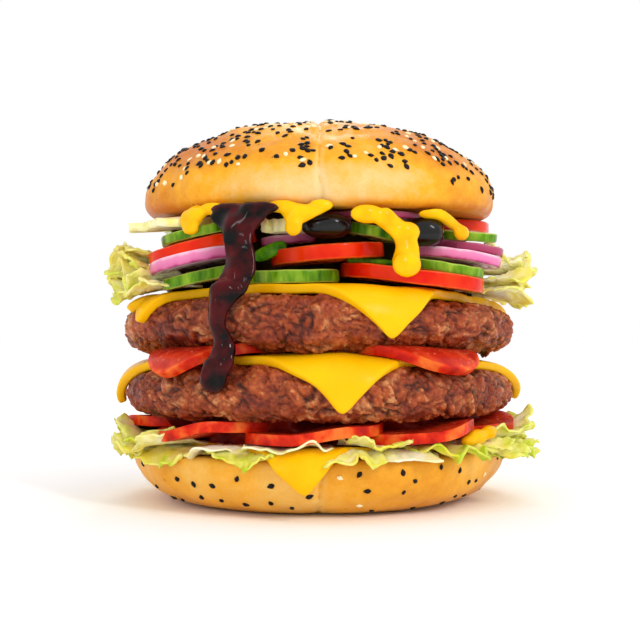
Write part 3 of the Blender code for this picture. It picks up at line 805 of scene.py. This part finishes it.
# --- Lettuce -----------------------------------------------------------------------------------------------
def leaf(first, last, inner, outer, root_z, rim_rise, frill, seed, pale=0.0, step=0.66):
    """Points, faces and rib values of a leaf from azimuth first to last whose rim is frilled. rim_rise is
    how far the rim stands above the root, frill the height of its folds, pale how much of it is rib."""
    count = int(math.radians(last - first) * outer / step)
    turns = np.linspace(first, last, count)[:, None]
    share = np.linspace(0, 1, int((outer - inner) / step))[None, :]
    a = np.radians(turns)
    edge = np.concatenate([np.cos(a) * 60, np.sin(a) * 60, np.zeros_like(a)], axis=1)
    lobes = 1.7 * waves(edge, 6.0, seed)[:, None] + 0.9 * waves(edge, 1.5, seed + 6)[:, None]
    ends = smoothstep(first, first + 6, turns) * smoothstep(last, last - 6, turns)
    reach = inner + (outer - inner + lobes) * share * (0.5 + 0.5 * ends)
    grow = share**1.5
    slow = waves(edge, 6.0, seed + 1)[:, None]
    quick = waves(edge, 2.2, seed + 2)[:, None]
    fold = waves(edge, 3.6, seed + 3)[:, None]
    z = root_z + rim_rise * smoothstep(0.45, 1.0, share) + frill * grow * (0.7 * slow + 0.38 * quick * share)
    reach = reach + frill * 0.45 * grow * fold * np.sin(3.0 * share + 1.5 * slow)
    slide = np.degrees(frill * 0.6 * grow * waves(edge, 3.6, seed + 4)[:, None] / 60)
    points = spin_points(turns + slide, reach, z)
    veins = np.abs(waves(edge, 3.4, seed + 5)[:, None]) < 0.16
    rib = 0.85 - 0.7 * smoothstep(0.3, 1.0, share) + 0.25 * veins * (1 - share**2) + 0.12 * slow + pale
    points[:, 2] += 0.35 * (veins * (1 - share)).ravel()
    blister, _ = cells(points, 3.4, seed + 7)
    blister = smoothstep(0, 0.4, blister)
    grown = np.broadcast_to(grow, reach.shape).ravel()
    puckers = 0.75 * (blister - 0.5) + 0.28 * waves(points, 1.1, seed + 8)
    points[:, 2] += grown * (pale < 0.4) * puckers
    bun = np.interp(np.hypot(points[:, 0], points[:, 1]), (53.5, 55.6, 57.4), (16.6, 15.2, 8.0))
    points[:, 2] = np.maximum(points[:, 2], bun)
    rib = rib + 0.2 * (1 - blister).reshape(reach.shape)
    rib = np.clip(np.broadcast_to(rib, reach.shape), 0, 1).ravel()
    return points, grid_faces(count, share.shape[1], False), rib


def leaves(name, rows, node=None, thickness=0.55):
    """One piece of several leaves, each a row of leaf's arguments."""
    made_leaves = [leaf(*row) for row in rows]
    points, faces = joined([made[:2] for made in made_leaves])
    values = {"rib": np.concatenate([made[2] for made in made_leaves])}
    thicken(build(name, points, faces, LOOKS["lettuce"], node, "lettuce", values), thickness)


def make_lower_lettuce():
    rows = [
        (176, 224, 50, 61.5, 19.6, 3.0, 3.8, 301, 0.1),
        (180, 228, 46, 62.5, 18.8, -0.6, 3.6, 307, 0.2),
        (186, 236, 44, 58.5, 17.6, -3.0, 2.2, 313, 0.0),
        (228, 247, 44, 58.6, 18.4, -1.2, 1.6, 319, 0.5),
        (234, 262, 44, 58.4, 18.0, -2.6, 2.4, 325, -0.1),
        (246, 276, 42, 58.6, 19.0, -0.2, 1.5, 331, 0.4),
        (268, 292, 44, 59.0, 18.4, -1.6, 2.6, 337, 0.1),
        (276, 300, 44, 58.8, 19.6, 0.8, 2.2, 343, 0.1),
        (284, 309, 44, 58.0, 17.9, -2.0, 0.7, 349, 0.7),
        (298, 326, 44, 59.4, 18.8, -0.6, 2.8, 355, -0.1),
        (330, 374, 50, 61.8, 19.6, 2.6, 3.8, 358, 0.1),
        (318, 372, 44, 61.5, 19.0, -0.6, 3.4, 361, 0.05),
        (326, 366, 44, 63.0, 18.2, -2.2, 3.2, 367, 0.0),
    ]
    for i in range(9):
        first, outer, root = 2 + i * 20, 60.8 + 1.5 * (i % 2), 18.6 + 0.5 * (i % 3)
        rows.append((first, first + 38, 43, outer, root, -1.2, 3.0, 373 + 7 * i, 0.1))
    leaves("lettuce_lower_leaves", rows, "lettuce_lower")


def make_lettuce():
    make_lower_lettuce()
    rows = [
        (158, 222, 44, 61.8, 62.4, -0.4, 3.4, 401, 0.1),
        (160, 216, 44, 61.5, 65.0, 1.5, 3.8, 411, 0.2),
        (160, 212, 45, 62.0, 68.0, 2.0, 3.6, 421, 0.15),
        (162, 210, 45, 60.0, 71.0, 2.5, 3.2, 426, 0.3),
    ]
    leaves("lettuce_left_leaves", rows, "lettuce_left")
    rows = [
        (332, 388, 44, 62.5, 61.4, -0.6, 3.4, 501, 0.2),
        (336, 384, 44, 63.0, 64.4, 1.0, 3.8, 511, 0.1),
        (338, 382, 45, 62.0, 67.4, 2.0, 3.6, 521, 0.3),
        (340, 378, 45, 60.0, 70.0, 2.5, 3.0, 526, 0.3),
    ]
    leaves("lettuce_right_leaves", rows, "lettuce_right")
    rows = [(56, 112, 44, 61.5, 62.4, 1.2, 3.4, 601), (64, 128, 46, 60.0, 64.6, 1.5, 2.8, 611)]
    leaves("lettuce_back_leaves", rows, "lettuce_back")
    leaves("lettuce_rib_slab", [(196, 228, 40, 57.5, 80.6, -1.0, 0.8, 441, 0.45)], thickness=2.2)
    leaves("lettuce_rib_end", [(247, 266, 34, 46.5, 78.6, 0.2, 0.8, 446, 0.5)], thickness=3.4)


def make_shade_sheet(name, look, radius, width, low, high, seed):
    """A crumpled dark sheet standing inside a layer as painted shade, so that no gap shows the far side."""
    sides, steps = 300, 30
    turns = np.linspace(0, 360, sides, endpoint=False)[:, None]
    levels = np.linspace(low, high, steps)[None, :]
    spot = spin_points(turns, np.full_like(levels, radius), levels)
    reach = (radius + 1.6 * waves(spot, 4.0, seed) + 0.7 * waves(spot, 1.8, seed + 1)).reshape(sides, steps)
    points = spin_points(turns, reach, levels) * np.array([width, 1, 1])
    thicken(build(name, points, grid_faces(sides, steps, True), LOOKS[look]), 0.6)


def make_pod(name, centre, half, lean):
    """A rounded bit of green skin. half is its half length, height and depth in millimetres."""
    unit = ball(36, 24, 0.75)[:, [0, 2, 1]]
    a = math.radians(lean)
    ways = np.array([[math.cos(a), 0, math.sin(a)], [-math.sin(a), 0, math.cos(a)], [0, -1, 0]])
    build(name, np.array(centre) + (unit * half) @ ways, grid_faces(36, 24, True), LOOKS["green_skin"])


# --- Rounds of vegetable -----------------------------------------------------------------------------------
def slice_frame(node):
    """Centre, axes, radius and thickness of a flat round of the solid model."""
    data = nodes[node].data
    points = np.zeros(len(data.vertices) * 3)
    data.vertices.foreach_get("co", points)
    points = np.unique(np.round(points.reshape(-1, 3) / MM, 4), axis=0)
    centre = points.mean(axis=0)
    _, _, ways = np.linalg.svd(points - centre)
    normal = ways[2] * np.sign(ways[2][2])
    first = np.array([1.0, 0, 0]) - normal * normal[0]
    first /= np.linalg.norm(first)
    second = np.cross(normal, first)
    local = (points - centre) @ np.stack([first, second, normal], axis=1)
    return centre, (first, second, normal), np.hypot(local[:, 0], local[:, 1]).mean(), np.ptp(local[:, 2])


BARE_CUCUMBERS = ("cucumber_11",)
DEEP_ONIONS = {"onion_4": 0.8, "onion_5": 0.7, "onion_8": 0.3}


def round_slice(node, kind, seed):
    """A slice on its solid's place and tilt, slightly out of round, with rings, pulp or seeds pressed in."""
    centre, (first, second, normal), radius, thickness = slice_frame(node)
    half = thickness / 2
    edge = min(half * 0.45, 0.75)
    corner = arc((radius - edge, half - edge), edge, edge, 90, 0, 6, 2.2)
    flat = np.stack([np.linspace(0, radius - edge, 22)[:-1], np.full(21, half)], axis=1)
    upper = np.concatenate([flat, corner])
    profile = np.concatenate([upper, upper[::-1] * np.array([1, -1])])
    sides = 112
    turn = np.linspace(0, TAU, sides, endpoint=False)[:, None]
    r, h = profile[None, :, 0], profile[None, :, 1]
    wobble = 1 + 0.018 * np.sin(2 * turn + seed) + 0.010 * np.sin(3 * turn + 2 * seed)
    wobble += 0.004 * np.sin(9 * turn)
    share = np.broadcast_to(r / radius, (sides, len(profile))).ravel()
    x, y = (r * wobble * np.cos(turn)).ravel(), (r * wobble * np.sin(turn)).ravel()
    z = np.broadcast_to(h, (sides, len(profile))).ravel().copy()
    flatness = smoothstep(0.999, 0.90, share) * (np.abs(z) > half * 0.6)
    spot = np.stack([x, y, np.full_like(x, 7.0 * seed)], axis=1)
    cut_edge = 0.8 * smoothstep(0.72, 0.95, np.abs(z) / half) * (kind != "onion")
    face = np.maximum(smoothstep(0.985, 0.93, share) * (np.abs(z) > half * 0.85), cut_edge)
    values = {"face": face, "rad": share}
    values["bare"] = np.full_like(share, node in BARE_CUCUMBERS)
    values["deep"] = np.full_like(share, DEEP_ONIONS.get(node, 0.0))
    if kind == "onion":
        rings = 0.5 + 0.5 * np.cos(TAU * (radius - share * radius) / 3.0)
        values["ring"] = np.clip(rings, 0, 1) ** 4 * (share < 0.97)
        z -= np.sign(z) * 0.22 * values["ring"] * flatness
        # height runs from the lower face to the upper face and paints the rim's shade and light.
        values["height"] = z / thickness + 0.5
    if kind == "tomato":
        pulp = smoothstep(-0.2, 0.6, waves(spot, 4.5, seed)) * (share < 0.85)
        z -= np.sign(z) * 0.35 * flatness * pulp
    if kind == "cucumber":
        z -= np.sign(z) * 0.25 * flatness * smoothstep(0.62, 0.5, share)
    z += 0.45 * waves(spot, 22.0, seed + 1) + 0.06 * waves(spot, 3.0, seed + 2)
    points = centre + x[:, None] * first + y[:, None] * second + z[:, None] * normal
    faces = grid_faces(sides, len(profile), True)
    build(node + "_slice", points, faces, LOOKS[kind], node, kind, values)


def make_rounds():
    for i, node in enumerate(sorted(nodes)):
        kind = node.rsplit("_", 1)[0]
        if kind in ("tomato", "cucumber", "onion"):
            round_slice(node, kind, 700 + 7 * i)


def make_olives():
    for i, node in enumerate(("olive_1", "olive_2", "olive_3")):
        low, high = [np.array(corner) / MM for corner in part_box(node)]
        unit = ball(64, 40, 0.82)
        unit *= (1 + 0.03 * waves(unit * 10, 7.0, 900 + i))[:, None]
        points = (low + high) / 2 + unit * (high - low) / 2
        build(node + "_fruit", points, grid_faces(64, 40, True), LOOKS["olive"], node, "olive")


# --- Sauces ------------------------------------------------------------------------------------------------
def polar(azimuth, radius, z):
    a = math.radians(azimuth)
    return np.array([radius * math.cos(a), radius * math.sin(a), z])


def smooth_line(stations, step):
    """Stations of numbers joined by a smooth curve, about step apart."""
    stations = np.array(stations, float)
    places = np.array([polar(*row[:3]) for row in stations])
    along = np.concatenate([[0], np.cumsum(np.linalg.norm(np.diff(places, axis=0), axis=1))])
    at = np.linspace(0, along[-1], int(along[-1] / step) + 2)
    rows = np.stack([np.interp(at, along, stations[:, k]) for k in range(stations.shape[1])], axis=1)
    kernel = np.hanning(int(5.0 / step) | 1)
    kernel /= kernel.sum()
    pad = len(kernel) // 2
    padded = np.concatenate([np.repeat(rows[:1], pad, 0), rows, np.repeat(rows[-1:], pad, 0)])
    return np.stack([np.convolve(column, kernel, "valid") for column in padded.T], axis=1)


def drip_mesh(stations, seed):
    """A drip whose width runs round the burger, rounded at both ends. Stations are (azimuth, radius, z,
    half width, half depth)."""
    rows = smooth_line(stations, 0.5)
    count, sides = len(rows), 28
    t = np.linspace(0, TAU, sides, endpoint=False)
    centres = np.array([polar(*row[:3]) for row in rows])
    along = np.gradient(centres, axis=0)
    along /= np.linalg.norm(along, axis=1, keepdims=True)
    across = np.array([polar(row[0] + 90, 1, 0) for row in rows])
    outwards = np.cross(across, along)
    outwards /= np.linalg.norm(outwards, axis=1, keepdims=True)
    near = np.minimum(np.arange(count), count - 1 - np.arange(count)) * 0.5
    caps = np.sqrt(np.clip(1 - (1 - np.minimum(near / np.maximum(rows[:, 3], 0.5), 1)) ** 2, 0, 1))
    wide, deep = rows[:, 3] * caps, rows[:, 4] * caps
    points = (
        centres[:, None]
        + across[:, None] * (wide[:, None] * np.cos(t))[:, :, None]
        + outwards[:, None] * (deep[:, None] * np.sin(t))[:, :, None]
    ).reshape(-1, 3)
    points += 0.55 * waves(points, 3.0, seed)[:, None] * np.repeat(outwards, sides, 0)
    return points, tube_faces(count, sides)


def blob_mesh(azimuth, radius, z, wide, tall, deep):
    """A blob whose width runs round the burger."""
    ways = np.array([polar(azimuth + 90, wide, 0), polar(azimuth, deep, 0), (0, 0, tall)])
    return polar(azimuth, radius, z) + ball(24, 16) @ ways, grid_faces(24, 16, True)


def make_sauce(name, node, slot, drips, blobs, seed):
    """Drips and blobs melted into one smooth skin."""
    parts = [drip_mesh(stations, seed + i) for i, stations in enumerate(drips)]
    points, faces = joined(parts + [blob_mesh(*row) for row in blobs])
    raw = bpy.data.meshes.new(name + "_raw")
    raw.from_pydata((points * MM).tolist(), [], faces.tolist())
    mesh = bmesh.new()
    mesh.from_mesh(raw)
    bmesh.ops.remove_doubles(mesh, verts=mesh.verts[:], dist=2e-6)
    bmesh.ops.holes_fill(mesh, edges=mesh.edges[:])
    bmesh.ops.recalc_face_normals(mesh, faces=mesh.faces[:])
    mesh.to_mesh(raw)
    mesh.free()
    body = bpy.data.objects.new(name + "_raw", raw)
    bpy.context.scene.collection.objects.link(body)
    melt = body.modifiers.new("melt", "REMESH")
    melt.mode = "VOXEL"
    melt.voxel_size = 0.42 * MM
    even = body.modifiers.new("even", "SMOOTH")
    even.iterations = 9
    even.factor = 0.6
    graph = bpy.context.evaluated_depsgraph_get()
    skin = bpy.data.meshes.new_from_object(body.evaluated_get(graph))
    bpy.data.objects.remove(body)
    skin.materials.clear()
    skin.materials.append(LOOKS[slot])
    skin.shade_smooth()
    link(name, skin, node)


# Stations of the drips as (azimuth, radius, z, half width, half depth), and blobs as (azimuth, radius, z,
# half width, half height, half depth).
BARBECUE = (
    (248.0, 50.5, 83.6, 10.0, 1.6),
    (248.0, 54.6, 82.2, 10.2, 1.9),
    (247.0, 55.6, 80.0, 8.6, 1.9),
    (247.6, 56.2, 76.6, 4.6, 2.0),
    (248.2, 56.8, 73.0, 4.0, 1.9),
    (249.0, 57.2, 69.5, 4.4, 1.9),
    (249.0, 58.2, 65.2, 4.8, 1.9),
    (246.4, 60.0, 60.4, 5.6, 1.8),
    (243.8, 60.6, 55.4, 3.2, 1.5),
    (243.6, 60.4, 52.0, 2.3, 1.4),
    (245.4, 59.8, 47.0, 2.8, 1.6),
    (245.0, 60.2, 42.2, 4.2, 1.8),
    (243.0, 60.6, 38.0, 4.4, 1.9),
    (242.2, 60.0, 33.2, 2.8, 1.5),
)
MUSTARD = {
    "mustard_1": (
        [((230.5, 50.6, 84.0, 3.6, 1.2), (231.0, 53.0, 82.0, 4.8, 1.8), (230.0, 53.6, 78.2, 3.2, 1.6))],
        [
            (227.5, 53.2, 80.2, 2.8, 3.0, 1.6),
            (236.5, 52.6, 83.0, 4.2, 1.8, 1.6),
            (229.5, 53.8, 77.8, 3.0, 1.8, 1.6),
        ],
    ),
    "mustard_2": (
        [((262.0, 50.0, 83.2, 3.4, 1.4), (266.0, 52.2, 82.4, 7.0, 1.7), (262.4, 52.6, 77.8, 2.6, 1.4))],
        [
            (259.0, 52.2, 83.0, 4.2, 1.8, 1.6),
            (270.5, 52.0, 83.2, 3.4, 1.7, 1.5),
            (262.6, 52.6, 77.4, 2.4, 2.4, 1.4),
        ],
    ),
    "mustard_3": (
        [
            (
                (282.0, 50.4, 82.4, 4.6, 1.4),
                (288.5, 52.4, 80.6, 5.2, 1.9),
                (293.8, 53.2, 76.8, 4.3, 2.1),
                (295.6, 54.4, 72.6, 3.1, 1.9),
                (294.5, 55.4, 68.0, 4.0, 2.2),
                (294.5, 55.6, 64.8, 2.8, 1.7),
            )
        ],
        [
            (284.0, 52.6, 81.0, 4.8, 2.6, 1.8),
            (296.0, 53.8, 76.4, 3.6, 2.8, 2.2),
            (294.3, 56.2, 67.6, 4.3, 3.4, 2.0),
        ],
    ),
    "mustard_4": (
        [((304.0, 50.4, 83.0, 3.2, 1.4), (311.0, 52.2, 80.8, 3.4, 1.9), (318.0, 52.8, 77.4, 2.8, 1.7))],
        [(317.5, 53.2, 77.0, 3.0, 2.2, 1.7)],
    ),
}
BARBECUE_LOBES = [
    (243.0, 54.4, 82.6, 5.0, 1.6, 1.6),
    (253.5, 54.8, 82.4, 5.4, 1.8, 1.6),
    (246.2, 60.9, 60.6, 4.8, 3.0, 1.6),
    (244.0, 61.4, 40.6, 4.2, 3.2, 1.6),
]
MUSTARD_LOW = [
    (322.0, 55.6, 20.6, 4.6, 2.2, 2.2),
    (327.0, 56.6, 21.6, 3.6, 2.0, 2.0),
    (318.0, 55.4, 19.8, 3.0, 1.6, 2.0),
]


def make_sauces():
    make_sauce("barbecue_drip", "sauce_barbecue", "barbecue", [BARBECUE], BARBECUE_LOBES, 801)
    for i, (node, (drips, blobs)) in enumerate(MUSTARD.items()):
        make_sauce(node + "_drip", node, "mustard", drips, blobs, 820 + 5 * i)
    make_sauce("mustard_low_blob", None, "mustard", [], MUSTARD_LOW, 850)


make_top_bun()
make_bottom_bun()
make_seeds()
make_patty("patty_lower_meat", "patty_lower", LOW_PATTY, 100)
make_patty("patty_upper_meat", "patty_upper", HIGH_PATTY, 200)
make_all_cheese()
make_all_salami()
make_lettuce()
# Sheets of painted shade inside the stack.
make_shade_sheet("inner_leaf_upper", "painted_shade_leaf", 26.0, 1.62, 58.5, 83.2, 651)
make_shade_sheet("inner_meat_lower", "painted_shade_meat", 43.0, 1.1, 17.0, 26.5, 661)
make_pod("green_sliver", (-13.5, -37.5, 71.9), (4.9, 1.9, 1.5), 24)
make_pod("green_end", (14.5, -34.5, 69.0), (7.0, 1.2, 5.0), -4)
make_rounds()
make_olives()
make_sauces()


# --- Studio ------------------------------------------------------------------------------------------------
def area_light(name, place, width, height, power, aim=(0, 0, 0.055)):
    data = bpy.data.lights.new(name, "AREA")
    data.shape = "RECTANGLE"
    data.size = width
    data.size_y = height
    data.energy = power
    made = bpy.data.objects.new(name, data)
    made.location = place
    made.rotation_euler = (Vector(aim) - Vector(place)).to_track_quat("-Z", "Y").to_euler()
    bpy.context.scene.collection.objects.link(made)


def make_studio():
    white = Look("studio_white", rough=0.9, specular=0.1)
    white.colour((255, 255, 255))
    mesh = bmesh.new()
    bmesh.ops.create_circle(mesh, cap_ends=True, segments=96, radius=3.0)
    data = bpy.data.meshes.new("floor")
    mesh.to_mesh(data)
    mesh.free()
    data.materials.append(white.material)
    floor = bpy.data.objects.new("floor", data)
    floor.location.z = -0.0002
    bpy.context.scene.collection.objects.link(floor)
    world = bpy.data.worlds.new("studio")
    world.use_nodes = True
    background = world.node_tree.nodes["Background"]
    background.inputs["Color"].default_value = (1, 1, 1, 1)
    background.inputs["Strength"].default_value = 1.0
    scene = bpy.context.scene
    scene.world = world
    area_light("key", (0.42, -0.60, 0.50), 0.07, 0.28, 2.0)
    area_light("side", (-0.40, -0.75, 0.30), 0.03, 0.20, 0.5)
    area_light("back", (0.0, 0.8, 0.7), 0.2, 0.2, 1.0)
    scene.view_settings.view_transform = "Standard"
    camera = bpy.data.objects.new("camera", bpy.data.cameras.new("camera"))
    camera.data.lens = 71.6
    camera.data.sensor_width = 36.0
    camera.data.clip_start = 0.01
    camera.location = (0.0002, -0.387, 0.053)
    camera.rotation_euler = (math.radians(90), 0, 0)
    scene.collection.objects.link(camera)
    scene.camera = camera


make_studio()
